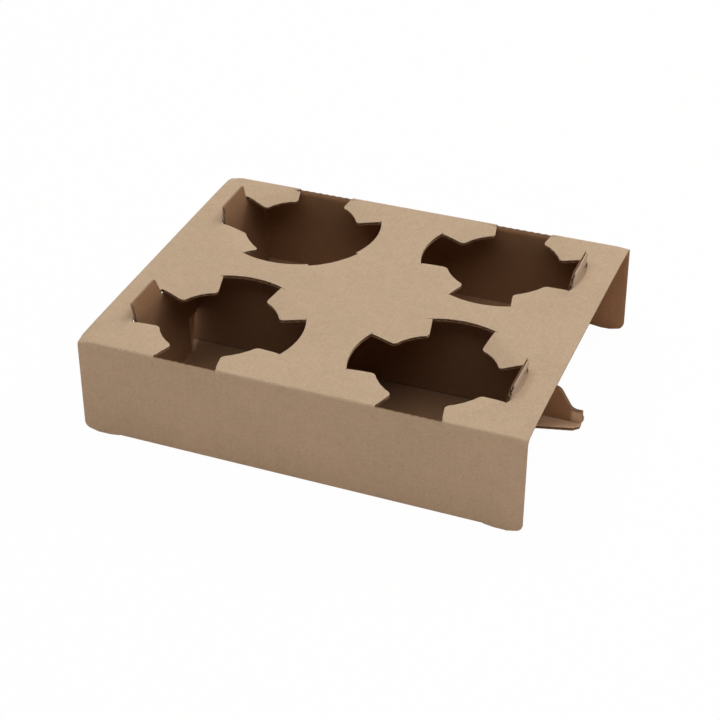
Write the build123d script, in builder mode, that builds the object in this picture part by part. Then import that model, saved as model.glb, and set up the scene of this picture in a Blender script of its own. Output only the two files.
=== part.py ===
from build123d import *
from math import asin, cos, pi, radians, sin, sqrt
import os

# A four-cup carrier folded from one blank of thin corrugated board.
# X runs along the long side, -Y is the front, +Z is up, and the table is Z = 0 under the middle.

# Board and creases
board = 1.6                  # thickness of the corrugated board
crease_inner = 0.4           # inside radius of every crease
play = 0.4                   # gap where one panel slides in front of another

# Sleeve: top panel with its front and back skirt
width = 210.0
depth = 165.5
height = 48.5
skirt_corner = 7.5           # rounding of the skirts' free bottom corners
cut_edge_drop = 1.0          # a skirt's cut edge lies this far below the panel's top face

# Cup holes, two by two in the top panel
hole_spread = 104.6          # centre to centre along X
row_spread = 95.2            # centre to centre along Y
middle_shift = 1.8           # the holes, side walls and divider lie this far behind the middle
hole_radius = 39.5           # circle on which the teeth are hinged
mouth_radius = 27.3          # circle through the tips of the teeth
notch_outer = 30.2           # width of a notch at the hinge circle
notch_inner = 24.6           # width of a notch at the tips
tooth_corner = 2.5           # rounding of a tooth's two tip corners
tooth_slit = 0.5             # slit between a tooth and the crease beside it
tooth_nick = 0.6             # cut into each end of a tooth's root

# How far each tooth hangs below the panel, in degrees, anticlockwise from the back right one.
# A tooth of FOLDED degrees has been pushed right down.
FOLDED = 90
tooth_droop = {
    "front_left": (9, 13, 7, 8),
    "front_right": (9, 20, 7, 8),
    "back_left": (11, 22, 25, FOLDED),
    "back_right": (8, 11, 7, 9),
}

# Side walls that fold up from the floor and lock into the notches
tab_seat = 2.4               # a side wall stands this far inside the hinge circle's outermost point
wall_end_gap = 0.4           # gap between a side wall and the skirt's crease
wall_top_gap = 1.0           # gap between a side wall's shoulder and the top panel
wall_middle_gap = 1.0        # divider's middle plane to a side wall's inner upright edge
tab_width = 24.7             # width of a tab, which stands midway in its notch
tab_rise = 7.8               # how far the tabs stand up above the top panel
tab_lean_out = 1.4           # a tab's top edge lies this much further out than the wall below
tab_lean_near = 1.8          # how far a tab's near edge slants in at its top
tab_lean_far = 0.8
tab_flare = 0.4              # how much wider a tab is at the shoulder, on its near side
tab_corner = 0.8

# Tongues: the arches cut out of the side walls stay flat as part of the floor
tongue_overhang = 17.8       # how far a tongue runs out beyond the side wall
tongue_root = 22.0           # width of a tongue at the side wall
tongue_tip = 13.2            # width of a tongue at its end
tongue_chamfer = 2.6
tongue_kerf = 0.4            # cut between a tongue and its arch

# Divider: a pleat of the floor, two plies thick, whose feet run out over the tongues
divider_gap = 0.8            # gap between the divider's tall end and the side wall
shoulder_overhang = 6.5      # how far the foot's shoulder runs out beyond the side wall
shoulder_height = 17.9
toe_length = 4.8             # length of the low toe at the foot's end
toe_height = 7.0
foot_round = 4.0
pleat_round = 1.3            # rounding of the pleat's top fold

# Glue flap, folded in from the back skirt and glued down on the floor
flap_depth = 25.0
flap_inset = 2.0             # the flap is this much shorter than the floor at each end

# Worked out from the sizes above
crease_middle = crease_inner + board / 2
crease_outer = crease_inner + board
front_back = depth / 2
skirt_middle = (depth - board) / 2
panel_underside = height - board
wall_reach = hole_spread / 2 + hole_radius - tab_seat
wall_middle = wall_reach - board / 2
tongue_reach = wall_reach + tongue_overhang
divider_reach = wall_reach - board - divider_gap
shoulder_reach = wall_reach + shoulder_overhang
toe_start = tongue_reach - toe_length
tab_near = (row_spread - tab_width) / 2
tab_far = (row_spread + tab_width) / 2
floor_reach = wall_middle - crease_middle
arch_top = tongue_reach + tongue_kerf - floor_reach + crease_middle * (1 - pi / 2) + board / 2
flat_limit = front_back - crease_outer
root_half = hole_radius * sin(radians(45) - asin(notch_outer / 2 / hole_radius))
root_distance = sqrt(hole_radius**2 - root_half**2)
tip_angle = radians(45) - asin(notch_inner / 2 / mouth_radius)
tooth_length = root_distance - mouth_radius
apron_depth = hole_radius - mouth_radius
root_end = root_half - tooth_nick
far_away = width + depth     # longer than anything in the model

hole_centres = {
    "front_left": (-hole_spread / 2, middle_shift - row_spread / 2),
    "front_right": (hole_spread / 2, middle_shift - row_spread / 2),
    "back_left": (-hole_spread / 2, middle_shift + row_spread / 2),
    "back_right": (hole_spread / 2, middle_shift + row_spread / 2),
}
tooth_angles = (45, 135, 225, 315)


def creased_strip(points, reach):
    """Board creased along X, from its middle line in the YZ plane, out to reach on both sides."""
    with BuildPart() as strip:
        with BuildSketch(Plane.YZ):
            with BuildLine():
                FilletPolyline(*points, radius=crease_middle)
            trace(line_width=board)
        extrude(amount=reach, both=True)
    return strip.part


def notch_half_width(distance):
    """Half the width of a notch at a distance from the centre of its hole."""
    tip_distance = sqrt(mouth_radius**2 - (notch_inner / 2) ** 2)
    outer_distance = sqrt(hole_radius**2 - (notch_outer / 2) ** 2)
    share = (distance - tip_distance) / (outer_distance - tip_distance)
    return (notch_inner + share * (notch_outer - notch_inner)) / 2


# Sleeve: the top panel and both skirts, with the free bottom corners rounded.
# Between the side walls each skirt turns in, so its straight edge is taken away there.
with BuildPart() as sleeve:
    add(
        creased_strip(
            [
                (-skirt_middle, 0),
                (-skirt_middle, height - board / 2),
                (skirt_middle, height - board / 2),
                (skirt_middle, 0),
            ],
            width / 2,
        )
    )
    bottom_corners = sleeve.edges().filter_by(Axis.Y).group_by(Axis.Z)[0]
    fillet(bottom_corners, radius=skirt_corner)
    with Locations((0, -skirt_middle, 0)):
        Box(2 * floor_reach, 2 * board, 2 * crease_outer, mode=Mode.SUBTRACT)
    with Locations((0, skirt_middle, board)):
        Box(2 * floor_reach, 2 * board, 2 * crease_outer, mode=Mode.SUBTRACT)

# Windows: a round one for each hole, kept off its teeth's roots and off the creases.
# Where a tooth is folded right down, the window is open out to the hinge circle.
windows = []
for name, centre in hole_centres.items():
    with BuildPart() as window:
        with BuildSketch(Plane((*centre, panel_underside - board))):
            Circle(hole_radius)
            for angle, droop in zip(tooth_angles, tooth_droop[name]):
                if droop != FOLDED:
                    with PolarLocations(root_distance + hole_radius / 2, 1, start_angle=angle):
                        Rectangle(hole_radius, 2 * hole_radius, mode=Mode.SUBTRACT)
        extrude(amount=3 * board)
        with BuildSketch(Plane.XY.offset(panel_underside - board)):
            Rectangle(far_away, 2 * flat_limit)
        extrude(amount=3 * board, mode=Mode.INTERSECT)
    windows.append(window.part)

# Top panel with its holes. A notch beside a skirt ends on the crease, where the skirt keeps
# a straight cut edge.
with BuildPart() as holed_sleeve:
    add(sleeve.part)
    for window_part in windows:
        add(window_part, mode=Mode.SUBTRACT)
    for centre_x, centre_y in hole_centres.values():
        side = 1 if centre_y > 0 else -1
        half = notch_half_width(min(front_back - abs(centre_y), root_distance))
        with Locations((centre_x, side * (front_back - crease_outer / 2), height)):
            Box(2 * half, crease_outer, 2 * crease_outer, mode=Mode.SUBTRACT)
        with Locations((centre_x, side * skirt_middle, height - crease_outer)):
            Box(
                2 * half,
                board,
                crease_outer - cut_edge_drop,
                align=(Align.CENTER, Align.CENTER, Align.MIN),
            )

# Teeth, each cut from the panel on three sides and hanging from its root
teeth = []
for name, (centre_x, centre_y) in hole_centres.items():
    for angle, droop in zip(tooth_angles, tooth_droop[name]):
        outward = Vector(cos(radians(angle)), sin(radians(angle)), 0)
        centre = Vector(centre_x, centre_y, height)
        if droop == FOLDED:
            # Pushed down, the tooth curves along the hinge circle like a short apron
            with BuildPart() as tooth:
                with BuildSketch(Plane(centre, x_dir=outward)):
                    Circle(hole_radius + board)
                    Circle(hole_radius, mode=Mode.SUBTRACT)
                extrude(amount=-apron_depth)
                apron = Plane(centre, x_dir=outward.rotate(Axis.Z, 90), z_dir=outward)
                with BuildSketch(apron):
                    with BuildLine():
                        Polyline(
                            (-root_half, 0),
                            (-mouth_radius * sin(tip_angle), -apron_depth),
                            (mouth_radius * sin(tip_angle), -apron_depth),
                            (root_half, 0),
                            close=True,
                        )
                    make_face()
                    fillet(vertices().group_by(Axis.Y)[0], radius=tooth_corner)
                extrude(amount=far_away, mode=Mode.INTERSECT)
        else:
            root = centre + outward * root_distance
            slope = radians(droop)
            downhill = Vector(0, 0, -sin(slope)) - outward * cos(slope)
            upright = Vector(0, 0, cos(slope)) - outward * sin(slope)
            tilt = Plane(root, x_dir=downhill, z_dir=upright)
            with BuildPart() as tooth:
                with BuildSketch(tilt):
                    with BuildLine():
                        tip_x = root_distance - mouth_radius * cos(tip_angle)
                        tip_y = mouth_radius * sin(tip_angle)
                        Line((0, -root_end), (0, root_end))
                        Line((0, root_end), (tip_x, tip_y))
                        ThreePointArc((tip_x, tip_y), (tooth_length, 0), (tip_x, -tip_y))
                        Line((tip_x, -tip_y), (0, -root_end))
                    make_face()
                    fillet(vertices().sort_by(Axis.X)[-2:], radius=tooth_corner)
                extrude(amount=-board)
                with BuildSketch(Plane.XY):
                    Rectangle(far_away, 2 * (flat_limit - tooth_slit))
                extrude(amount=far_away, mode=Mode.INTERSECT)
        teeth.append(tooth.part)

# Floor: the front half grows out of the front skirt, the back half runs under the glue flap
pleat_base = board / 2 + crease_middle
back_floor_start = middle_shift + pleat_base
back_floor_end = flat_limit - play
front_floor = creased_strip(
    [
        (middle_shift - pleat_base, board / 2),
        (-skirt_middle, board / 2),
        (-skirt_middle, crease_outer + board),
    ],
    floor_reach,
)
glue_flap = creased_strip(
    [
        (front_back - flap_depth, 1.5 * board),
        (skirt_middle, 1.5 * board),
        (skirt_middle, crease_outer + 2 * board),
    ],
    floor_reach,
)
with BuildPart() as floor:
    add(front_floor)
    add(glue_flap)
    for end in (-1, 1):
        with Locations((end * floor_reach, front_back - crease_outer - flap_depth, 1.5 * board)):
            Box(2 * flap_inset, 2 * flap_depth, board, mode=Mode.SUBTRACT)
    with BuildSketch():
        with Locations((0, (back_floor_start + back_floor_end) / 2)):
            Rectangle(2 * floor_reach, back_floor_end - back_floor_start)
    extrude(amount=board)

# Divider: two plies that rise out of the floor back to back, cut to the outline of the divider.
# It is made on the middle plane, as the tongues and the side walls are, and shifted at the end.
pleat_top = panel_underside - play
with BuildPart() as divider:
    for side in (-1, 1):
        ply = creased_strip(
            [
                (side * (pleat_base + board), board / 2),
                (side * board / 2, board / 2),
                (side * board / 2, pleat_top),
            ],
            tongue_reach,
        )
        add(ply)
    fold_edges = divider.edges().filter_by(Axis.X).group_by(Axis.Z)[-1]
    fillet(fold_edges.sort_by(Axis.Y)[0:1] + fold_edges.sort_by(Axis.Y)[-1:], radius=pleat_round)
    with BuildSketch(Plane.XZ):
        with BuildLine():
            Polyline(
                (-tongue_reach, 0),
                (-tongue_reach, toe_height),
                (-toe_start, toe_height),
                (-shoulder_reach, shoulder_height),
                (-divider_reach, shoulder_height),
                (-divider_reach, pleat_top),
                (divider_reach, pleat_top),
                (divider_reach, shoulder_height),
                (shoulder_reach, shoulder_height),
                (toe_start, toe_height),
                (tongue_reach, toe_height),
                (tongue_reach, 0),
                close=True,
            )
        make_face()
        foot_corners = [
            corner
            for corner in vertices()
            if abs(abs(corner.X) - shoulder_reach) < play or abs(abs(corner.X) - toe_start) < play
        ]
        fillet(foot_corners, radius=foot_round)
    extrude(amount=front_back, both=True, mode=Mode.INTERSECT)

# Tongues: flat continuations of the floor under the divider's feet
with BuildPart() as tongues:
    with BuildSketch():
        with BuildLine():
            Polyline(
                (0, tongue_root / 2),
                (wall_middle, tongue_root / 2),
                (tongue_reach - tongue_chamfer, tongue_tip / 2),
                (tongue_reach, tongue_tip / 2 - tongue_chamfer),
                (tongue_reach, pleat_base),
                (0, pleat_base),
                close=True,
            )
        make_face()
        mirror(about=Plane.XZ)
        mirror(about=Plane.YZ)
    extrude(amount=board)

# Side walls: folded up along the floor's ends, alike but for the reach towards their skirt.
# The arch has the tongue's outline, since the tongue was cut out of it.
walls = []
shoulder_top = panel_underside - wall_top_gap
for end in (-1, 1):
    for side in (-1, 1):
        wall_far = flat_limit - wall_end_gap - side * middle_shift
        with BuildPart() as wall:
            with BuildSketch(Plane.XZ):
                with BuildLine():
                    FilletPolyline(
                        (end * (floor_reach - board), board / 2),
                        (end * wall_middle, board / 2),
                        (end * wall_middle, height),
                        (end * (wall_middle + tab_lean_out), height + tab_rise),
                        radius=crease_middle,
                    )
                trace(line_width=board)
            extrude(amount=wall_far, both=True)
            with BuildSketch(Plane.YZ):
                with BuildLine():
                    Polyline(
                        (side * (tongue_root / 2 + tongue_kerf), 0),
                        (side * (tongue_tip / 2 + tongue_kerf), arch_top - tongue_chamfer),
                        (side * (tongue_tip / 2 + tongue_kerf - tongue_chamfer), arch_top),
                        (side * wall_middle_gap, arch_top),
                        (side * wall_middle_gap, shoulder_top),
                        (side * (tab_near - tab_flare), shoulder_top),
                        (side * tab_near, height),
                        (side * (tab_near + tab_lean_near), height + tab_rise),
                        (side * (tab_far - tab_lean_far), height + tab_rise),
                        (side * tab_far, shoulder_top),
                        (side * wall_far, shoulder_top),
                        (side * wall_far, 0),
                        close=True,
                    )
                make_face()
                fillet(vertices().group_by(Axis.Y)[-1], radius=tab_corner)
            extrude(amount=far_away, both=True, mode=Mode.INTERSECT)
        walls.append(wall.part)

# The whole blank, folded and glued
with BuildPart() as cup_carrier:
    add(holed_sleeve.part)
    for tooth_part in teeth:
        add(tooth_part)
    add(floor.part)
    with Locations((0, middle_shift, 0)):
        add(divider.part)
        add(tongues.part)
        for wall_part in walls:
            add(wall_part)

cup_carrier.part.label = "cup_carrier"
os.makedirs("parts", exist_ok=True)
export_step(cup_carrier.part, "parts/cup_carrier.step")

bounds = cup_carrier.part.bounding_box()
print("solids", len(cup_carrier.part.solids()), "volume", round(cup_carrier.part.volume, 1))
print("size", round(bounds.size.X, 2), round(bounds.size.Y, 2), round(bounds.size.Z, 2))
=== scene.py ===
import bmesh
import bpy
from math import asin, cos, degrees, pi, radians, sin, sqrt, tan
from mathutils import Matrix, Vector


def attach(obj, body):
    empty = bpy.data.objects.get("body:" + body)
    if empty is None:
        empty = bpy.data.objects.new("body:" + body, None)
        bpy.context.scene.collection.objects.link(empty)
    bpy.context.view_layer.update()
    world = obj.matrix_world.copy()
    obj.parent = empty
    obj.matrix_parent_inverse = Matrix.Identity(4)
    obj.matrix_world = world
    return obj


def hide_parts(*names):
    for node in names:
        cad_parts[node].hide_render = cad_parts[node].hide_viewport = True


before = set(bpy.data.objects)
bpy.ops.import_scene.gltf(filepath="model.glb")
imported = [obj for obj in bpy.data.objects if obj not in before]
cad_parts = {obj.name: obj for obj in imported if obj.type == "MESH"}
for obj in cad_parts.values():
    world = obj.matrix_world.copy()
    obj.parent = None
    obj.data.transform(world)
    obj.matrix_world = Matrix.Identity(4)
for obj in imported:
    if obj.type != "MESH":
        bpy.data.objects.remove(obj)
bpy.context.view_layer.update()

# The blank. The carrier is one flat piece of brown fluted board, cut out with a steel-rule die
# and creased. On the flat blank x runs across the flutes and s along them, in millimetres, from
# the glue flap's free edge to the back floor's free edge. Both halves are alike, so one is drawn.
board = 1.6  # thickness
half_width = 105.0  # of the top panel and the skirts
half_depth = 81.95  # to the middle of a skirt's board
panel_level = 47.7  # this and the next two are heights of the board's middle
floor_level = 0.8
flap_level = 2.4
middle_y = 1.8  # where the divider's middle plane stands
pleat_crown = 46.5  # height of the divider's top
flap_edge = 57.75  # where the glue flap's free edge lies
floor_end = 80.35  # where the back floor's free edge lies

# The folds, by the middle radius of the plain ones and of the pleat's. The two top ones are crisp
# outside, and buckle to a wider bend inside, so the board is disturbed further from the corner.
fold_radius = 1.2
pleat_fold_radius = 0.85
top_fold_outside = 1.3
top_fold_inside = 3.6
top_fold_reach = 4.4  # how far from the corner the board is disturbed
corner_turn = fold_radius * pi / 2
top_fold_spread = (top_fold_inside - top_fold_outside) / board
top_fold_run = top_fold_reach + board / 2 - top_fold_outside
top_fold_length = 2 * top_fold_run + top_fold_outside * pi / 2
flat_end = half_depth - fold_radius
panel_end = half_depth - top_fold_reach
flap_length = flat_end - flap_edge
back_skirt_length = panel_level - top_fold_reach - flap_level - fold_radius
panel_length = 2 * panel_end
front_skirt_length = panel_level - top_fold_reach - floor_level - fold_radius
pleat_foot = fold_radius + pleat_fold_radius
front_floor_length = flat_end + middle_y - pleat_foot
ply_length = pleat_crown - board / 2 - pleat_fold_radius - floor_level - fold_radius
back_floor_length = floor_end - middle_y - pleat_foot

# Each leg of the way along the blank: its length, and how far the board turns over it, in degrees
route = (
    ("flap", flap_length, 0),
    ("flap_crease", corner_turn, 90),
    ("back_skirt", back_skirt_length, 0),
    ("back_crease", top_fold_length, 90),
    ("panel", panel_length, 0),
    ("front_crease", top_fold_length, 90),
    ("front_skirt", front_skirt_length, 0),
    ("floor_crease", corner_turn, 90),
    ("front_floor", front_floor_length, 0),
    ("front_pleat_crease", corner_turn, 90),
    ("front_ply", ply_length, 0),
    ("pleat_fold", pleat_fold_radius * pi, -180),
    ("back_ply", ply_length, 0),
    ("back_pleat_crease", corner_turn, 90),
    ("back_floor", back_floor_length, 0),
)
top_creases = ("back_crease", "front_crease")
start = {}
end = {}
reached = 0.0
for leg, length, turn in route:
    start[leg] = reached
    reached += length
    end[leg] = reached
blank_end = reached
pleat_middle = (start["pleat_fold"] + end["pleat_fold"]) / 2


# The cutting rules: straight ones, and bent ones where a corner is rounded. Their points are
# given as (x, s) on the flat blank.
corner_steps = 6


def round_corner(before, corner, after, radius):
    """The two ends and the centre of an arc that rounds a corner."""
    corner = Vector(corner)
    one = (Vector(before) - corner).normalized()
    other = (Vector(after) - corner).normalized()
    half = one.angle(other) / 2
    first = corner + one * (radius / tan(half))
    last = corner + other * (radius / tan(half))
    centre = corner + (one + other).normalized() * (radius / sin(half))
    return first, last, centre


def bend_rule(sheet, first, last, centre, steps):
    """A bent cutting rule: an arc spun from one point to another."""
    sweep = (Vector(first) - Vector(centre)).angle_signed(Vector(last) - Vector(centre))
    knife = sheet.verts.new((*first, 0))
    bmesh.ops.spin(
        sheet, geom=[knife], cent=(*centre, 0), axis=(0, 0, 1), angle=-sweep, steps=steps
    )


def straight_rule(sheet, first, last):
    """A straight cutting rule from one point to another."""
    sheet.edges.new([sheet.verts.new((*point, 0)) for point in (first, last)])


def cut_along(sheet, corners):
    """Cutting rules through corners of (x, s) or, for a rounded one, of (x, s, radius)."""
    here = Vector(corners[0][:2])
    for before, corner, after in zip(corners, corners[1:], corners[2:]):
        if len(corner) == 2:
            straight_rule(sheet, here, corner)
            here = Vector(corner)
        else:
            first, last, centre = round_corner(before[:2], corner[:2], after[:2], corner[2])
            straight_rule(sheet, here, first)
            bend_rule(sheet, first, last, centre, corner_steps)
            here = last
    straight_rule(sheet, here, corners[-1])


# The outline, from the glue flap to the back floor. Relief slits part the skirts' free ends from
# the creases, and each tongue is cut out of the wall beside it, which leaves an arch. The board
# is crushed a little along the edges that the die has cut.
flap_reach = 85.4  # half the width of the glue flap
band_reach = 87.3  # half the width of the creases at the skirts' feet
hinge_reach = 87.4  # where the side walls fold up
skirt_start = 87.5  # where a skirt's free end starts
skirt_foot_rise = 0.75  # how far short of the table that end starts
skirt_foot_slope = 6.0  # length over which it comes down to the table
skirt_corner = 3.4
skirt_lift_start = 98.0
skirt_lift = 1.7  # how far a skirt's bottom edge rises at its corner
wall_top = 45.9
wall_far = {"front": 82.15, "back": 78.55}  # from the divider's middle, as are the tab's two sides
wall_middle_gap = 1.0
tab_top = 56.3
tab_shoulder = 48.5  # height from which the tab narrows and leans
tab_near = 35.25
tab_far = 59.95
tab_flare = 0.4
tab_lean_near = 1.8
tab_lean_far = 0.8
tab_corner = 0.8
crushed_depth = 1.5  # how far in from its edge the board is crushed
crushed_share = 0.6
crushed_tab_share = 0.15
tongue_root = 11.0  # this and the next are half widths of a tongue
tongue_half = 6.6
tongue_reach = 107.2
tongue_chamfer = 2.6
kerf = 0.4  # width of the cut round a tongue
foot_reach = 95.9  # how far out the shoulder of the divider's foot runs
foot_shoulder = 17.9
toe_start = 102.4
toe_height = 7.0
foot_round = 4.0
pleat_reach = 87.0


def floor_s(distance):
    """How far along the blank the front floor's points at a distance from the divider lie."""
    return end["front_floor"] + pleat_foot - distance


def ply_s(z):
    """How far along the blank a height on the front ply lies."""
    return start["front_ply"] + z - floor_level - fold_radius


def wall_x(z):
    """How far out on the blank a height on the side wall lies."""
    return hinge_reach + corner_turn + z - floor_level - fold_radius


back_table_s = start["back_skirt"] - flap_level - fold_radius
front_table_s = end["front_skirt"] + floor_level + fold_radius


def wall_cut(far):
    """The outline of a front side wall, its tab, its arch, the tongue and the divider's foot."""
    return (
        (band_reach, floor_s(far)),
        (wall_x(wall_top), floor_s(far)),
        (wall_x(wall_top), floor_s(tab_far)),
        (wall_x(tab_top), floor_s(tab_far - tab_lean_far), tab_corner),
        (wall_x(tab_top), floor_s(tab_near + tab_lean_near), tab_corner),
        (wall_x(tab_shoulder), floor_s(tab_near)),
        (wall_x(wall_top), floor_s(tab_near - tab_flare)),
        (wall_x(wall_top), floor_s(wall_middle_gap)),
        (tongue_reach + kerf, floor_s(wall_middle_gap)),
        (tongue_reach + kerf, floor_s(tongue_half + kerf - tongue_chamfer)),
        (tongue_reach + kerf - tongue_chamfer, floor_s(tongue_half + kerf)),
        (hinge_reach, floor_s(tongue_root + kerf)),
        (hinge_reach, floor_s(tongue_root)),
        (tongue_reach - tongue_chamfer, floor_s(tongue_half)),
        (tongue_reach, floor_s(tongue_half - tongue_chamfer)),
        (tongue_reach, ply_s(toe_height)),
        (toe_start, ply_s(toe_height), foot_round),
        (foot_reach, ply_s(foot_shoulder), foot_round),
        (pleat_reach, ply_s(foot_shoulder)),
        (pleat_reach, pleat_middle),
    )


def cut_outline(sheet):
    """Cuts half of the blank's outline, from the flap round to the middle of the back floor."""
    slope_end = skirt_start + skirt_foot_slope
    cut_along(
        sheet,
        (
            (0, 0),
            (flap_reach, 0),
            (flap_reach, end["flap"]),
            (band_reach, end["flap"]),
            (band_reach, end["flap_crease"]),
            (skirt_start, end["flap_crease"]),
            (skirt_start, back_table_s + skirt_foot_rise),
            (slope_end, back_table_s),
            (skirt_lift_start, back_table_s, 2 * skirt_corner),
            (half_width, back_table_s + skirt_lift, skirt_corner),
            (half_width, front_table_s - skirt_lift, skirt_corner),
            (skirt_lift_start, front_table_s, 2 * skirt_corner),
            (slope_end, front_table_s),
            (skirt_start, front_table_s - skirt_foot_rise),
            (skirt_start, end["front_skirt"]),
            (band_reach, end["front_skirt"]),
            (band_reach, floor_s(wall_far["front"])),
        ),
    )
    cut_along(sheet, wall_cut(wall_far["front"]))
    across = 2 * pleat_middle
    back_cut = [(x, across - s, *rounding) for x, s, *rounding in wall_cut(wall_far["back"])]
    cut_along(sheet, back_cut)
    straight_rule(sheet, (band_reach, blank_end), (0, blank_end))
    straight_rule(sheet, (0, 0), (0, blank_end))


# The cup holes. Four teeth stand round each one, hinged on a circle, with a notch between each
# two. A nick runs on from most notches along that circle, and lets the tooth's corner drop.
# At a skirt the notch stops on the crease, so the skirt keeps a short straight lip there.
hole_x = 52.3  # from the middle of the carrier to the middle of a hole
hole_y = {"front": -45.8, "back": 49.4}
hinge_circle = 39.5
mouth_circle = 27.3
notch_outer = 30.2  # width of a notch at the hinge circle
notch_inner = 24.6  # width of a notch at the mouth circle
tooth_corner = 2.5
tooth_slit = 0.06
lip_slit = 0.04
lip_height = {"front": 5.0, "back": 4.2}
lip_ripple = 0.3  # how deep the ripples in its cut edge are
lip_ripples = 16
ring_steps = 10
nick_drop = 0.3  # how far inside the hinge circle a nicked tooth's corner is
tooth_bend = 4.0  # length over which a tooth bends
folded_circle = 41.5  # where the tooth that is pushed right down bends
folded_radius = 1.2
folded_slit = 0.05
folded_steps = 9
notch_angle = degrees(asin(notch_outer / 2 / hinge_circle))
tip_half_angle = 45 - degrees(asin(notch_inner / 2 / mouth_circle))

# The droop of a tooth that has been pushed right down
FOLDED = 90

# For each tooth of the right-hand holes: the nicks at its clockwise and other end, in degrees
# of the circle, then how far it droops on the left side of the carrier and on the right
teeth = {
    "front": {45: (0, 4, 13, 20), 135: (6.5, 3, 9, 7), 225: (2, 0, 8, 7), 315: (0, 0, 7, 8)},
    "back": {45: (0, 0, 22, 8), 135: (0, 3, 11, 11), 225: (3, 5, FOLDED, 7), 315: (4, 3, 25, 9)},
}


def from_hole(row, x, y):
    """A point on the flat blank at an offset from the middle of a hole."""
    return hole_x + x, start["panel"] + panel_end - hole_y[row] - y


def round_hole(row, angle, distance):
    """A point on the flat blank at an angle and a distance from the middle of a hole."""
    return from_hole(row, distance * cos(radians(angle)), distance * sin(radians(angle)))


def hinge_ends(row, angle):
    """The angles on the hinge circle between which a tooth is joined to the panel."""
    first_nick, last_nick = teeth[row][angle][:2]
    return angle - 45 + notch_angle + first_nick, angle + 45 - notch_angle - last_nick


def ring_rule(sheet, row, first, last, distance, steps):
    """A cutting rule bent round the middle of a hole, between two angles."""
    knife = sheet.verts.new((*round_hole(row, first, distance), 0))
    sweep = radians(first - last)
    middle = (*from_hole(row, 0, 0), 0)
    bmesh.ops.spin(sheet, geom=[knife], cent=middle, axis=(0, 0, 1), angle=sweep, steps=steps)


def notch_half_width(distance):
    """Half the width of a notch at a distance from the middle of its hole."""
    tip = mouth_circle * cos(asin(notch_inner / 2 / mouth_circle))
    outer = hinge_circle * cos(radians(notch_angle))
    share = (distance - tip) / (outer - tip)
    return (notch_inner + share * (notch_outer - notch_inner)) / 2


def crease_cuts(row, angle):
    """Where a tooth beside a skirt is cut free of the crease: along its edge and its root."""
    toward = 1 if row == "back" else -1
    beside = 1 if angle in (45, 315) else -1
    crease = flat_end - abs(hole_y[row])
    first, last = hinge_ends(row, angle)
    middle = radians((first + last) / 2)
    reach = hinge_circle * cos(radians(last - first) / 2)
    cuts = []
    for depth in (crease - tooth_slit, crease):
        along_root = (reach - toward * depth * sin(middle)) / cos(middle)
        cuts.append(from_hole(row, along_root, toward * depth))
    depth = crease - tooth_slit
    side = from_hole(row, beside * notch_half_width(depth), toward * depth)
    return side, cuts[0], cuts[1]


def is_by_skirt(row, angle):
    """Whether a tooth stands beside a skirt's crease."""
    return angle in ((45, 135) if row == "back" else (225, 315))


def is_folded_down(row, angle):
    """Whether a tooth of the left-hand hole has been pushed right down."""
    return teeth[row][angle][2] == FOLDED


def lip_half_width(row):
    """Half the width of the lip, which is that of the notch where it meets the skirt."""
    crease = flat_end + fold_radius + board / 2 - abs(hole_y[row])
    return notch_half_width(min(crease, hinge_circle * cos(radians(notch_angle))))


def lip_foot(row):
    """How far along the blank the lip that a skirt keeps at a notch begins."""
    return start["back_crease"] if row == "back" else end["front_crease"]


def cut_lip(sheet, row):
    """Cuts the notch at a skirt's crease and the lip in it, with the rippled edge of the die."""
    out = -1 if row == "back" else 1
    crease = from_hole(row, 0, -out * (flat_end - abs(hole_y[row])))[1]
    fold = lip_foot(row)
    half = lip_half_width(row)
    first, last = hole_x - half + lip_slit, hole_x + half - lip_slit
    ripples = []
    for step in range(lip_ripples + 1):
        along = first + (last - first) * step / lip_ripples
        ripples.append((along, fold - out * (lip_height[row] - lip_ripple * (step % 2))))
    cut_along(
        sheet,
        (
            (hole_x - half, crease),
            (hole_x - half, fold),
            (first, fold),
            *ripples,
            (last, fold),
            (hole_x + half, fold),
            (hole_x + half, crease),
        ),
    )


def cut_hole(sheet, row):
    """Cuts the edge that the panel keeps round one hole: the notches, the roots and the lip."""
    for angle in teeth[row]:
        first, last = hinge_ends(row, angle)
        if is_folded_down(row, angle):
            ring_rule(sheet, row, first, last, folded_circle, folded_steps)
            for edge_angle in (first, last):
                straight_rule(
                    sheet,
                    round_hole(row, edge_angle, hinge_circle),
                    round_hole(row, edge_angle, folded_circle),
                )
        elif is_by_skirt(row, angle):
            on_edge, on_crease = crease_cuts(row, angle)[1:]
            side_angle = first if angle in (45, 225) else last
            root = round_hole(row, side_angle, hinge_circle)
            lip_side = 1 if angle in (45, 315) else -1
            lip_corner = (hole_x + lip_side * lip_half_width(row), on_crease[1])
            cut_along(sheet, (root, on_edge, on_crease, lip_corner))
        else:
            straight_rule(
                sheet,
                round_hole(row, first, hinge_circle),
                round_hole(row, last, hinge_circle),
            )
    for notch in (0, 90, 180, 270):
        before = (notch + 315) % 360
        after = (notch + 45) % 360
        if is_by_skirt(row, before) and is_by_skirt(row, after):
            cut_lip(sheet, row)
        else:
            first = hinge_ends(row, before)[1] - (360 if notch == 0 else 0)
            last = hinge_ends(row, after)[0]
            ring_rule(sheet, row, first, last, hinge_circle, ring_steps)


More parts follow.
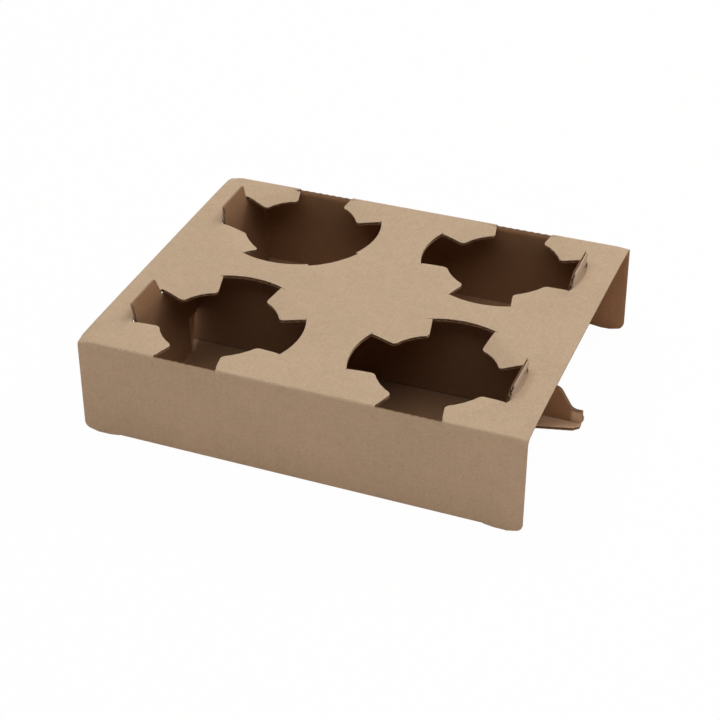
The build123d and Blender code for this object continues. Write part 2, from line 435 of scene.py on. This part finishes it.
def cut_tooth(sheet, row, angle):
    """Cuts one tooth: its root, its two sides with their nicks, and its rounded tip."""
    first, last = hinge_ends(row, angle)
    first_corner = angle - 45 + notch_angle
    last_corner = angle + 45 - notch_angle
    part = folded_slit if is_folded_down(row, angle) else 0
    path = [round_hole(row, first + part, hinge_circle)]
    if first > first_corner:
        path.append(round_hole(row, first_corner, hinge_circle - nick_drop))
    path.append((*round_hole(row, angle - tip_half_angle, mouth_circle), tooth_corner))
    for share in (-0.5, 0, 0.5):
        path.append(round_hole(row, angle + share * tip_half_angle, mouth_circle))
    path.append((*round_hole(row, angle + tip_half_angle, mouth_circle), tooth_corner))
    if last < last_corner:
        path.append(round_hole(row, last_corner, hinge_circle - nick_drop))
    path.append(round_hole(row, last - part, hinge_circle))
    if is_by_skirt(row, angle):
        corner, on_edge = crease_cuts(row, angle)[:2]
        if angle in (45, 225):
            path[-1:] = [corner, on_edge]
        else:
            path[:1] = [on_edge, corner]
    cut_along(sheet, path)
    if is_folded_down(row, angle):
        ring_rule(sheet, row, first, last, folded_circle, folded_steps)
        straight_rule(sheet, path[0], round_hole(row, first, folded_circle))
        straight_rule(sheet, path[-1], round_hole(row, last, folded_circle))
    else:
        straight_rule(sheet, path[0], path[-1])


# The pressing. The half blank and its teeth are filled in, joined where they touch, sliced
# wherever the board bends, and mirrored. The panel is sliced finely where its free ends bow up.
weld = 0.002
on_line = 0.001
straight_within = 0.001
bow_start = 60.0
bow_steps = 12
buckle_steps = 5
bend_steps = 6
wall_steps = 5
tooth_steps = 3
folded_bend_length = 5.0
folded_bend_steps = 10
degrees_per_step = 18
tooth_numbers = {}
for row in teeth:
    for angle in teeth[row]:
        tooth_numbers[len(tooth_numbers) + 1] = (row, angle)


def press_out(blank, tooth, draw, *place):
    """Draws one closed cut, fills it with board and adds it to the blank."""
    sheet = bmesh.new()
    number = sheet.faces.layers.int.new("tooth")
    draw(sheet, *place)
    bmesh.ops.remove_doubles(sheet, verts=sheet.verts, dist=weld)
    bmesh.ops.triangle_fill(sheet, use_beauty=False, use_dissolve=False, edges=sheet.edges[:])
    for face in sheet.faces:
        face[number] = tooth
    piece = bpy.data.meshes.new("cut")
    sheet.to_mesh(piece)
    blank.from_mesh(piece)
    bpy.data.meshes.remove(piece)
    sheet.free()


def cut_panel(sheet):
    """Cuts half of the blank: its outline and the edges of its two holes."""
    cut_outline(sheet)
    for row in teeth:
        cut_hole(sheet, row)


def slice_sheet(sheet, faces, point, across):
    """Adds a line of edges across some of a sheet's faces, for it to bend along."""
    edges = dict.fromkeys(edge for face in faces for edge in face.edges)
    corners = dict.fromkeys(vert for face in faces for vert in face.verts)
    bmesh.ops.bisect_plane(
        sheet,
        geom=[*faces, *edges, *corners],
        dist=on_line,
        plane_co=(*point, 0),
        plane_no=(*across, 0),
    )


def slice_panel(blank, point, across):
    """Adds a line of edges across the top panel, but not across its teeth."""
    number = blank.faces.layers.int["tooth"]
    faces = []
    for face in blank.faces:
        along = face.calc_center_median().y
        if not face[number] and start["back_crease"] < along < end["front_crease"]:
            faces.append(face)
    slice_sheet(blank, faces, point, across)


def is_slanted(edge):
    """Whether an edge runs neither along the flutes nor across them."""
    run = edge.verts[1].co - edge.verts[0].co
    return abs(run.x) > on_line and abs(run.y) > on_line


def is_midway(vert):
    """Whether a vertex only divides a straight edge."""
    if len(vert.link_edges) != 2:
        return False
    one, other = (edge.other_vert(vert).co - vert.co for edge in vert.link_edges)
    return abs(one.angle(other, 0) - pi) < straight_within


def fold_lines(leg, length, turn):
    """The lines at which a leg of the blank bends, as distances from its start."""
    if leg in top_creases:
        bend = length - 2 * top_fold_run
        lines = [top_fold_run + bend * step / bend_steps for step in range(bend_steps + 1)]
        for step in range(buckle_steps):
            from_end = top_fold_run * step / buckle_steps
            lines += [from_end, length - from_end]
        return lines
    steps = abs(turn) // degrees_per_step
    return [length * step / steps for step in range(steps + 1)] if turn else []


def slice_blank(blank, flute_step):
    """Slices the half blank wherever it bends, and across the flutes at a given step."""
    for leg, length, turn in route:
        for along in fold_lines(leg, length, turn):
            slice_sheet(blank, blank.faces[:], (0, start[leg] + along), (0, 1))
    for step in range(1, bow_steps):
        slice_panel(blank, (0, start["panel"] + panel_length * step / bow_steps), (0, 1))
    for step in range(1, 2 * bow_steps):
        along = bow_start + (half_width - bow_start) * step / bow_steps / 2
        slice_panel(blank, (along, 0), (1, 0))
    stops = [hinge_reach + corner_turn * step / wall_steps for step in range(wall_steps + 1)]
    stops += [wall_x(tab_shoulder), wall_x(tab_top - crushed_depth), half_width - crushed_depth]
    if flute_step:
        stops += [flute_step * step for step in range(1, int(wall_x(tab_top) / flute_step) + 1)]
    for x in stops:
        beyond = [face for face in blank.faces if max(vert.co.x for vert in face.verts) > x]
        slice_sheet(blank, beyond, (x, 0), (1, 0))


def drop_spare_edges(blank):
    """Takes out the slanted edges of the filling, and the vertices that they leave over."""
    number = blank.faces.layers.int["tooth"]
    spare = [
        edge
        for edge in blank.edges
        if is_slanted(edge)
        and len(edge.link_faces) == 2
        and edge.link_faces[0][number] == edge.link_faces[1][number]
    ]
    bmesh.ops.dissolve_edges(blank, edges=spare, use_verts=False, use_face_split=False)
    bmesh.ops.remove_doubles(blank, verts=blank.verts, dist=weld)
    spare = [vert for vert in blank.verts if is_midway(vert)]
    bmesh.ops.dissolve_verts(blank, verts=spare, use_face_split=False)


def slice_tooth(blank, tooth, point, across):
    """Adds a line of edges across one tooth."""
    number = blank.faces.layers.int["tooth"]
    own = [face for face in blank.faces if face[number] == tooth]
    slice_sheet(blank, own, point, across)


def slice_bend(blank, tooth):
    """Slices one tooth where it bends near its root."""
    row, angle = tooth_numbers[tooth]
    first, last = hinge_ends(row, angle)
    middle = radians((first + last) / 2)
    reach = hinge_circle * cos(radians(last - first) / 2)
    stops = [reach - tooth_bend * step / tooth_steps for step in range(tooth_steps + 1)]
    if is_folded_down(row, angle):
        for step in range(folded_bend_steps + 1):
            stops.append(folded_circle - folded_bend_length * step / folded_bend_steps)
        for step in range(1, folded_steps):
            turn = radians(first + (last - first) * step / folded_steps)
            slice_tooth(blank, tooth, from_hole(row, 0, 0), (sin(turn), cos(turn)))
    for stop in stops:
        root = round_hole(row, degrees(middle), stop)
        slice_tooth(blank, tooth, root, (cos(middle), -sin(middle)))


def cut_blank(flute_step):
    """The whole flat blank, sliced wherever it bends, and across the flutes at a given step."""
    blank = bmesh.new()
    blank.faces.layers.int.new("tooth")
    press_out(blank, 0, cut_panel)
    for tooth, place in tooth_numbers.items():
        press_out(blank, tooth, cut_tooth, *place)
    bmesh.ops.remove_doubles(blank, verts=blank.verts, dist=weld)
    slice_blank(blank, flute_step)
    drop_spare_edges(blank)
    for tooth in tooth_numbers:
        slice_bend(blank, tooth)
    bmesh.ops.mirror(
        blank,
        geom=[*blank.verts, *blank.edges, *blank.faces],
        merge_dist=weld,
        axis="X",
    )
    bmesh.ops.reverse_faces(blank, faces=[face for face in blank.faces if face.normal.z < 0])
    return blank


# The folding. The blank is wrapped round into a sleeve with its skirts, floor and pleat, and the
# glue flap is stuck down on the floor. Walls are bent up, and teeth droop from their roots.
# The notches push the tabs outwards.
MM = 0.001
tab_lean_out = {"front": 1.8, "back": 0.9}
lays = {}
lay_y = flap_edge
lay_z = flap_level
heading = 0.0
for leg, length, turn in route:
    lays[leg] = (lay_y, lay_z, heading, length, radians(turn))
    if leg in top_creases:
        lay_y += top_fold_reach * (cos(heading) - sin(heading))
        lay_z += top_fold_reach * (sin(heading) + cos(heading))
        heading += radians(turn)
    elif turn:
        radius = length / radians(turn)
        lay_y += radius * (sin(heading + radians(turn)) - sin(heading))
        lay_z -= radius * (cos(heading + radians(turn)) - cos(heading))
        heading += radians(turn)
    else:
        lay_y += length * cos(heading)
        lay_z += length * sin(heading)


def round_top_fold(along, w):
    """Where a point of a top crease comes to lie: how far on from its start, and how far down."""
    radius = top_fold_outside + (w + board / 2) * top_fold_spread
    run = top_fold_reach - w - radius
    bend = radius * pi / 2
    travel = along / top_fold_length * (2 * run + bend)
    now = min(max(travel - run, 0) / radius, pi / 2)
    onward = min(travel, run) + radius * sin(now)
    return onward, w + radius * (1 - cos(now)) + max(travel - run - bend, 0)


def lay_down(leg, s, w):
    """Where a point of one leg comes to lie, in y and z. w is its depth towards the inside."""
    y, z, heading, length, turn = lays[leg]
    along = s - start[leg]
    if leg in top_creases:
        along, w = round_top_fold(along, w)
    if leg in top_creases or not turn:
        y += along * cos(heading) - w * sin(heading)
        z += along * sin(heading) + w * cos(heading)
        return y, z
    radius = length / turn
    now = heading + along / radius
    y += (radius - w) * sin(now) - radius * sin(heading)
    z += radius * cos(heading) - (radius - w) * cos(now)
    return y, z


def is_on_wall(x, s):
    """Whether a point of the blank is on a side wall, and not on the tongue or divider foot."""
    if x <= hinge_reach or s < front_table_s:
        return False
    if s < pleat_middle:
        y = end["front_floor"] + pleat_foot - s
    else:
        y = s - start["back_floor"] + pleat_foot
    if x > tongue_reach + kerf / 2:
        return y > 0
    slope = (tongue_root - tongue_half) / (tongue_reach - tongue_chamfer - hinge_reach)
    side = tongue_root + kerf / 2 - slope * (x - hinge_reach)
    return y > side or x + y > tongue_reach + tongue_half + kerf - tongue_chamfer


def is_on_lip(x, s, row):
    """Whether a point of the blank is on the straight lip that a skirt keeps at a notch."""
    beside = abs(x - hole_x) < lip_half_width(row) - lip_slit / 2
    up = (s - lip_foot(row)) * (1 if row == "back" else -1)
    return beside and 0 < up < lip_height[row] + lip_slit


def find_leg(x, s):
    """The leg of the blank that a point follows."""
    if x > hinge_reach and start["flap"] < s < start["back_crease"]:
        return "back_skirt"
    if x > hinge_reach and start["front_skirt"] < s < front_table_s:
        return "front_skirt"
    if is_on_wall(x, s):
        return "front_floor" if s < pleat_middle else "back_floor"
    for row in hole_y:
        if is_on_lip(x, s, row):
            return row + "_skirt"
    return next(leg for leg in end if s <= end[leg] + on_line)


def bend_tooth(row, angle, droop, x, y, w):
    """Where a point of a tooth comes to lie as the tooth bends down from its root."""
    first, last = hinge_ends(row, angle)
    middle = radians((first + last) / 2)
    reach = hinge_circle * cos(radians(last - first) / 2)
    out = x * cos(middle) + y * sin(middle)
    beside = y * cos(middle) - x * sin(middle)
    below = reach - out
    if below <= 0:
        return x, y, panel_level - w
    turn = radians(droop)
    radius = tooth_bend / turn
    now = turn * min(below / tooth_bend, 1)
    straight = max(below - tooth_bend, 0)
    out = reach - radius * sin(now) - straight * cos(turn) + w * sin(now)
    z = panel_level - radius * (1 - cos(now)) - straight * sin(turn) - w * cos(now)
    return out * cos(middle) - beside * sin(middle), out * sin(middle) + beside * cos(middle), z


def fold_tooth(angle, x, y, w):
    """Where a point of the tooth that is pushed right down comes to lie."""
    middle = radians(angle)
    beside = y * cos(middle) - x * sin(middle)
    turn = middle + asin(beside / folded_circle)
    along = folded_circle - sqrt(x * x + y * y)
    now = min(along / folded_radius, pi / 2)
    out = folded_circle - (folded_radius - w) * sin(now)
    z = panel_level - folded_radius + (folded_radius - w) * cos(now)
    z -= max(along - folded_radius * pi / 2, 0)
    return out * cos(turn), out * sin(turn), z


# The settling. A used carrier isn't quite square: its skirts splay at the foot, the side walls
# lean in there, and the back crease runs askew. The panel bows up at its free ends, by another
# amount at the left (-1) than at the right (1), and it droops at its corners.
settled_depth = 60.0  # from here on outwards the skirts splay
skirt_splay = {"front": 1.1, "back": 1.7}
splay_askew = 0.2  # how much more they splay at the right end
wall_lean_in = 1.8
back_askew = 1.0  # how far back the crease runs at the right end
back_stretch = 0.3  # and all along
panel_bow = {-1: 0.2, 1: 1.2}
bow_fullness = 4
corner_droop = {-1: 1.2, 1: 0.5}
corner_reach = 6.0  # how far from its corner the panel droops


def blend(value, low, high):
    """0 below low, 1 above high, and smooth between."""
    share = min(max((value - low) / (high - low), 0), 1)
    return share * share * (3 - 2 * share)


def settle(side, leg, on_wall, x, y, z):
    """Where a point of the square carrier comes to lie in the used one."""
    depth = min(abs(y) / half_depth, 1)
    near = blend(abs(y), settled_depth, half_depth)
    row = "front" if y < 0 else "back"
    bow = 0
    if leg == "panel" or leg in top_creases:
        bow = panel_bow[side] * blend(x, bow_start, half_width) * (1 - depth ** bow_fullness)
    corner = Vector((half_width - x, half_depth - abs(y), panel_level - z)).length
    droop = corner_droop[side] * (1 - blend(corner, 0, corner_reach))
    under = max(1 - z / panel_level, 0)
    splay = (skirt_splay[row] + side * x / half_width * splay_askew) * near * under
    by_wall = blend(x, bow_start, hinge_reach) * (1 - blend(x, foot_reach, toe_start))
    if on_wall or leg in ("front_floor", "back_floor"):
        beside = 1 if on_wall else blend(abs(y - middle_y), tongue_root, tongue_root + kerf)
        x -= wall_lean_in * by_wall * beside * under
    if row == "front":
        return x, y - splay, z + bow - droop
    askew = (side * x / half_width * back_askew + back_stretch) * near
    return x, y + splay + askew, z + bow - droop


def crushed(x, s, w):
    """The depth of a point, less where the board is crushed along the edge of what is cut free."""
    for row in hole_y:
        if is_on_lip(x, s, row):
            share = abs(s - lip_foot(row)) - lip_height[row] + crushed_depth
            share = min(max(share / crushed_depth, 0), 1)
            return (w + board / 2) * (1 - crushed_share * share) - board / 2
    if end["flap"] < s < front_table_s:
        share = max(x - half_width + crushed_depth, 0) / crushed_depth
        return (w + board / 2) * (1 - crushed_share * share) - board / 2
    if is_on_wall(x, s):
        share = max(x - wall_x(tab_top - crushed_depth), 0) / crushed_depth
        return w * (1 - crushed_tab_share * share)
    height = min(s, 2 * pleat_middle - s) - ply_s(0)
    slope = (foot_shoulder - toe_height) / (toe_start - foot_reach)
    edge = min(max(foot_shoulder - (x - foot_reach) * slope, toe_height), foot_shoulder)
    if x > hinge_reach + kerf and height > edge - crushed_depth:
        return w * (1 - crushed_share)
    return w


def fold_point(point, tooth):
    """Where a point of the flat blank comes to lie in the folded carrier, in metres."""
    side = -1 if point.x < 0 else 1
    x = abs(point.x)
    w = crushed(x, point.y, point.z)
    leg = find_leg(x, point.y)
    y, z = lay_down(leg, point.y, w)
    if is_on_wall(x, point.y):
        along = x - hinge_reach
        now = min(along / fold_radius, pi / 2)
        x = hinge_reach + (fold_radius - w) * sin(now)
        z = floor_level + fold_radius - (fold_radius - w) * cos(now)
        z += max(along - corner_turn, 0)
        lean = tab_lean_out["front" if point.y < pleat_middle else "back"]
        x += lean * max(z - tab_shoulder, 0) / (tab_top - tab_shoulder)
    elif tooth:
        row, angle = tooth_numbers[tooth]
        droop = teeth[row][angle][3 if side > 0 else 2]
        at = (x - hole_x, start["panel"] + panel_end - hole_y[row] - point.y, w)
        if droop == FOLDED:
            x, y, z = fold_tooth(angle, *at)
        else:
            x, y, z = bend_tooth(row, angle, droop, *at)
        x += hole_x
        y += hole_y[row]
    x, y, z = settle(side, leg, is_on_wall(abs(point.x), point.y), x, y, z)
    return Vector((side * x, y, z)) * MM


# The board's three papers. Each is cut and sliced in its own copy of the blank, given its own
# thickness and depth, and folded. Its vertices keep their places on the flat blank, for the paint.
flute_pitch = 3.3
paper = 0.25  # thickness of the outer and the inner one
crisp_angle = 50  # in degrees, above which an edge looks sharp


def make_layer(name, level, thickness, flute_step, flute_height):
    """One paper of the board: cut out, given its thickness and depth, and folded."""
    sheet = cut_blank(flute_step)
    bmesh.ops.solidify(sheet, geom=sheet.faces[:], thickness=thickness)
    middle = sum(vert.co.z for vert in sheet.verts) / len(sheet.verts)
    number = sheet.faces.layers.int["tooth"]
    flat = sheet.verts.layers.float_vector.new("blank")
    for vert in sheet.verts:
        wave = flute_height * cos(2 * pi * vert.co.x / flute_pitch)
        vert.co.z += level - middle + wave
        vert[flat] = vert.co
    for vert in sheet.verts:
        vert.co = fold_point(vert.co, max(face[number] for face in vert.link_faces))
    bmesh.ops.recalc_face_normals(sheet, faces=sheet.faces[:])
    for face in sheet.faces:
        face.smooth = True
    for edge in sheet.edges:
        edge.smooth = len(edge.link_faces) == 2 and edge.calc_face_angle() < radians(crisp_angle)
    mesh = bpy.data.meshes.new(name)
    sheet.to_mesh(mesh)
    sheet.free()
    piece = bpy.data.objects.new(name, mesh)
    bpy.context.scene.collection.objects.link(piece)
    return piece


# The outer paper: smooth matt brown kraft on the side that shows, mottled, with fine fibres in
# it and the faint washboard that the flutes press through, as bumps and as painted shade. Painted
# light makes it paler on the tabs. Its patterns follow the flat blank, and their scales are for
# millimetres on that.
# The washboard is painted shade in the colour as well as a bump in the relief.
washboard_shade = 0.006
washboard_height = 0.1
fibre_share = 0.32
speck_share = 0.5
bump_strength = 0.25
bump_depth = 0.00015
kraft_roughness = 0.85
kraft_specular = 0.25
light_blur = 1.0
light_end_blur = 0.1
shade_blur = 3.0
outer_liner = make_layer("outer_liner", (paper - board) / 2, paper, 0, 0)


class Paint:
    """A value in the nodes of a material or a world. Sums on it add Math nodes."""

    def __init__(self, tree, socket=None):
        self.tree = tree
        self.socket = socket

    def add(self, kind, settings, sockets, output=0):
        """A node of a kind, with its settings and then the values or links of its sockets."""
        node = self.tree.nodes.new("ShaderNode" + kind)
        for name, value in settings.items():
            setattr(node, name, value)
        for name, value in sockets.items():
            if isinstance(value, Paint):
                self.tree.links.new(value.socket, node.inputs[name])
            else:
                node.inputs[name].default_value = value
        return Paint(self.tree, node.outputs[output] if node.outputs else None)

    def also(self, name):
        """Another output of the node that this value comes from."""
        return Paint(self.tree, self.socket.node.outputs[name])

    def sum(self, operation, one, other):
        """The result of a Math node on two values."""
        return self.add("Math", {"operation": operation}, {0: one, 1: other})

    def __add__(self, other):
        return self.sum("ADD", self, other)

    def __sub__(self, other):
        return self.sum("SUBTRACT", self, other)

    def __rsub__(self, other):
        return self.sum("SUBTRACT", other, self)

    def __mul__(self, other):
        return self.sum("MULTIPLY", self, other)

    def __abs__(self):
        return self.add("Math", {"operation": "ABSOLUTE"}, {0: self})

    def rise(self, low, high):
        """0 below low, 1 above high, and smooth between."""
        settings = {"interpolation_type": "SMOOTHSTEP"}
        return self.add("MapRange", settings, {"Value": self, "From Min": low, "From Max": high})

    def mix(self, colour, share, how="MIX"):
        """This colour with a share of another laid over it."""
        settings = {"data_type": "RGBA", "blend_type": how}
        return self.add("Mix", settings, {0: share, 6: self, 7: (*colour, 1)}, 2)

    def noise(self, scale, detail=2.0, stretch=(1, 1, 1), turn=0.0):
        """Noise of about -0.5 to 0.5 on this place, drawn out and turned."""
        place = self.add("Mapping", {}, {"Vector": self, "Rotation": (0, 0, turn)})
        place = self.add("Mapping", {}, {"Vector": place, "Scale": stretch})
        return self.add("TexNoise", {}, {"Vector": place, "Scale": scale, "Detail": detail}) - 0.5


def start_paint(owner):
    """The empty node tree of a material or a world."""
    owner.use_nodes = True
    owner.node_tree.nodes.clear()
    return Paint(owner.node_tree)


def kraft(name, colour, dark, painted_shade, painted_light_colour, painted_light):
    """Brown kraft paper with darker fibres, with painted shade in some places and painted light in
    others.

    A place of painted shade has its middle along the blank, the distances from there at which it
    begins to fade and is gone, its reach across, and its share of the dark colour. A place of
    painted light has its near and far end across the blank, its middle along it, and half its
    length.
    """
    material = bpy.data.materials.new(name)
    paint = start_paint(material)
    blank = paint.add("Attribute", {"attribute_name": "blank"}, {}, "Vector")
    place = paint.add("SeparateXYZ", {}, {0: blank})
    out = abs(place)
    along = place.also("Y")
    wave = paint.add("Math", {"operation": "COSINE"}, {0: place * (2 * pi / flute_pitch)})
    mottle = blank.noise(0.03) * 0.12 + blank.noise(0.2) * 0.13 + blank.noise(0.9, 4.0) * 0.32
    grain = blank.noise(2.4, 3.0, (1, 0.7, 1)) * 0.48
    shade = mottle + grain + wave * washboard_shade + 1.0
    toned = shade.mix(colour, 1.0, "MULTIPLY")
    # Painted light: these places are mixed towards a paler colour.
    for near, far, middle, half in painted_light:
        apart = abs(along - middle)
        painted_lit = out.rise(near - light_blur, near + light_blur)
        painted_lit = painted_lit * (1.0 - out.rise(far - light_end_blur, far + light_end_blur))
        painted_lit = painted_lit * (1.0 - apart.rise(half - light_blur, half + light_blur))
        toned = toned.mix(painted_light_colour, painted_lit)
    fibres = blank.noise(1.6, 2.0, (0.35, 2.2, 1), 0.5).rise(0.12, 0.3)
    specks = blank.noise(2.2, 1.0, (1, 1.6, 1), 1.9).rise(0.2, 0.32)
    darkness = fibres * fibre_share + specks * speck_share
    # Painted shade: these places are mixed towards the dark colour.
    for middle, near, far, reach, share in painted_shade:
        apart = abs(along - middle)
        inside = 1.0 - out.rise(reach - shade_blur, reach + shade_blur)
        darkness = darkness + (1.0 - apart.rise(near, far)) * inside * share
    toned = toned.mix(dark, darkness)
    height = blank.noise(1.5, 4.0) + wave * washboard_height
    relief = {"Height": height, "Strength": bump_strength, "Distance": bump_depth}
    surface = {
        "Base Color": toned,
        "Roughness": kraft_roughness,
        "Specular IOR Level": kraft_specular,
        "Normal": paint.add("Bump", {}, relief),
    }
    shader = paint.add("BsdfPrincipled", {}, surface)
    paint.add("OutputMaterial", {}, {"Surface": shader})
    return material


# Where the tabs get painted light, which makes them paler.
tab_middle = (tab_near + tab_far) / 2
tab_half = (tab_far - tab_near) / 2
tab_light_places = [
    (wall_x(tab_shoulder), 2 * half_width, floor_s(tab_middle), tab_half),
    (wall_x(tab_shoulder), 2 * half_width, 2 * pleat_middle - floor_s(tab_middle), tab_half),
]
outer_kraft = kraft(
    "outer_kraft",
    colour=(0.52, 0.378, 0.25),
    dark=(0.26, 0.16, 0.1),
    painted_shade=(),
    painted_light_colour=(0.6, 0.47, 0.36),
    painted_light=tab_light_places,
)
outer_liner.data.materials.append(outer_kraft)
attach(outer_liner, "root")
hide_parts("cup_carrier")

# The fluted paper between the two others: a thinner, darker sheet pressed into waves and glued to
# them along its crests. It shows at the cut edges that run across the flutes.
fluting = 0.2
glue_depth = 0.02
steps_per_flute = 6
flute_rise = board / 2 - paper - fluting / 2 + glue_depth
medium = make_layer("fluted_paper", 0, fluting, flute_pitch / steps_per_flute, flute_rise)
# Painted light makes this paper paler on the tabs, where its cut edge would show dark between the
# other two.
fluted_kraft = kraft(
    "fluted_kraft",
    colour=(0.38, 0.24, 0.14),
    dark=(0.2, 0.12, 0.07),
    painted_shade=(),
    painted_light_colour=(0.5, 0.35, 0.24),
    painted_light=tab_light_places,
)
medium.data.materials.append(fluted_kraft)
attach(medium, "root")
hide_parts("cup_carrier")

# The inner paper: a redder and darker kraft on the side that faces the cups, with painted shade
# along the two creases at the divider's foot and over the divider and the floors under the panel.
# Painted light makes it paler on the tongues and the divider's toe, which stick out of the
# carrier.
inner_liner = make_layer("inner_liner", (board - paper) / 2, paper, 0, 0)
# Painted shade along the divider's creases, and over the divider and the floors beside it.
painted_shade_places = [
    ((start[leg] + end[leg]) / 2, 0.4, 1.3, half_width, 0.6)
    for leg in ("front_pleat_crease", "back_pleat_crease")
]
painted_shade_places.append((pleat_middle, 95.0, 130.0, hinge_reach, 0.42))
# Painted light on the tongues and the divider's toe, which makes them paler.
tongue_middle = floor_s((tongue_root + pleat_foot) / 2)
tongue_end = tongue_reach + kerf / 2
tongue_light_places = [
    (hinge_reach, tongue_end, tongue_middle, tongue_root / 2),
    (hinge_reach, tongue_end, 2 * pleat_middle - tongue_middle, tongue_root / 2),
    (toe_start, tongue_reach + kerf, ply_s(toe_height / 2), toe_height / 2),
]
inner_kraft = kraft(
    "inner_kraft",
    colour=(0.325, 0.175, 0.088),
    dark=(0.12, 0.07, 0.04),
    painted_shade=painted_shade_places,
    painted_light_colour=(0.62, 0.42, 0.27),
    painted_light=tongue_light_places,
)
inner_liner.data.materials.append(inner_kraft)
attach(inner_liner, "root")
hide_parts("cup_carrier")

# The table: a wide sheet of white paper that sends a warm light up under the carrier. The camera
# sees it nearly even, with a faint shadow.
table_size = 30.0
table_evenness = 0.98
table_colour = (0.95, 0.86, 0.82)
table_cut = bmesh.new()
bmesh.ops.create_grid(table_cut, x_segments=1, y_segments=1, size=table_size)
table_mesh = bpy.data.meshes.new("table_top")
table_cut.to_mesh(table_mesh)
table_cut.free()
table_top = bpy.data.objects.new("table_top", table_mesh)
bpy.context.scene.collection.objects.link(table_top)
table_paper = bpy.data.materials.new("white_table")
paint = start_paint(table_paper)
path = paint.add("LightPath", {}, {}, "Is Camera Ray")
seen = path + path.also("Is Glossy Ray") + path.also("Is Transmission Ray")
white = paint.add("Emission", {}, {"Color": (1, 1, 1, 1), "Strength": 1.0})
matt = paint.add("BsdfDiffuse", {}, {"Color": (*table_colour, 1)})
paper_or_white = paint.add("MixShader", {}, {0: seen * table_evenness, 1: matt, 2: white})
paint.add("OutputMaterial", {}, {"Surface": paper_or_white})
table_mesh.materials.append(table_paper)

# The room: low white walls that light the carrier's sides. Where the camera looks past the
# table, it sees plain white.
wall_colour = (1, 0.92, 0.88)
wall_light = 1.15
wall_foot = 0.08
wall_head = 0.3
room = bpy.data.worlds.new("white_room")
bpy.context.scene.world = room
paint = start_paint(room)
path = paint.add("LightPath", {}, {}, "Is Camera Ray")
seen = path + path.also("Is Glossy Ray") + path.also("Is Transmission Ray")
bearing = paint.add("TexCoord", {}, {})
upward = paint.add("SeparateXYZ", {}, {0: bearing}, "Z")
glow = (1.0 - upward.rise(wall_foot, wall_head)) * wall_light
walls = paint.add("Background", {}, {"Color": (*wall_colour, 1), "Strength": glow})
white = paint.add("Background", {}, {"Color": (1, 1, 1, 1), "Strength": 1.0})
light_or_white = paint.add("MixShader", {}, {0: seen, 1: walls, 2: white})
paint.add("OutputWorld", {}, {"Surface": light_or_white})


# The lamps: one wide soft box overhead, and a weaker one behind to the right, tipped down. They
# give the panel an even light, the front skirt a softer one and the cup holes deep shadows.
def hang_lamp(name, size, power, distance, turn, elevation):
    """Hangs a square soft box that faces the carrier. It is turned clockwise from the back."""
    lamp = bpy.data.lights.new(name, "AREA")
    lamp.shape = "SQUARE"
    lamp.size = size
    lamp.energy = power
    soft_box = bpy.data.objects.new(name, lamp)
    bpy.context.scene.collection.objects.link(soft_box)
    level = Vector((sin(radians(turn)), cos(radians(turn)), 0))
    toward = level * cos(radians(elevation)) + Vector((0, 0, sin(radians(elevation))))
    facing = toward.to_track_quat("Z", "Y").to_matrix().to_4x4()
    soft_box.matrix_world = Matrix.Translation(toward * distance) @ facing


hang_lamp("overhead_box", size=2.0, power=19.8, distance=1.3, turn=0, elevation=90)
hang_lamp("back_box", size=1.2, power=15.5, distance=2.2, turn=25, elevation=41)

# The camera: a long lens from the front, a little to the right and well above the table. Its
# pose was solved from the carrier's straight edges and the circles of its holes.
azimuth = radians(21.749)
elevation = radians(34.169)
roll = radians(-0.39965)
distance = 1.454424
aim = Vector((-0.1854962, 0.4598552, -0.3258322))
lens = bpy.data.cameras.new("camera")
lens.sensor_width = 36.0
lens.lens = 89.8926
camera = bpy.data.objects.new("camera", lens)
bpy.context.scene.collection.objects.link(camera)
bpy.context.scene.camera = camera
back = Vector((sin(azimuth) * cos(elevation), -cos(azimuth) * cos(elevation), sin(elevation)))
right = Vector((cos(azimuth), sin(azimuth), 0))
up = back.cross(right)
tilted_right = right * cos(roll) + up * sin(roll)
tilted_up = up * cos(roll) - right * sin(roll)
camera.matrix_world = Matrix(
    (
        (tilted_right.x, tilted_up.x, back.x, aim.x + back.x * distance),
        (tilted_right.y, tilted_up.y, back.y, aim.y + back.y * distance),
        (tilted_right.z, tilted_up.z, back.z, aim.z + back.z * distance),
        (0, 0, 0, 1),
    )
)
bpy.context.scene.view_settings.view_transform = "Standard"
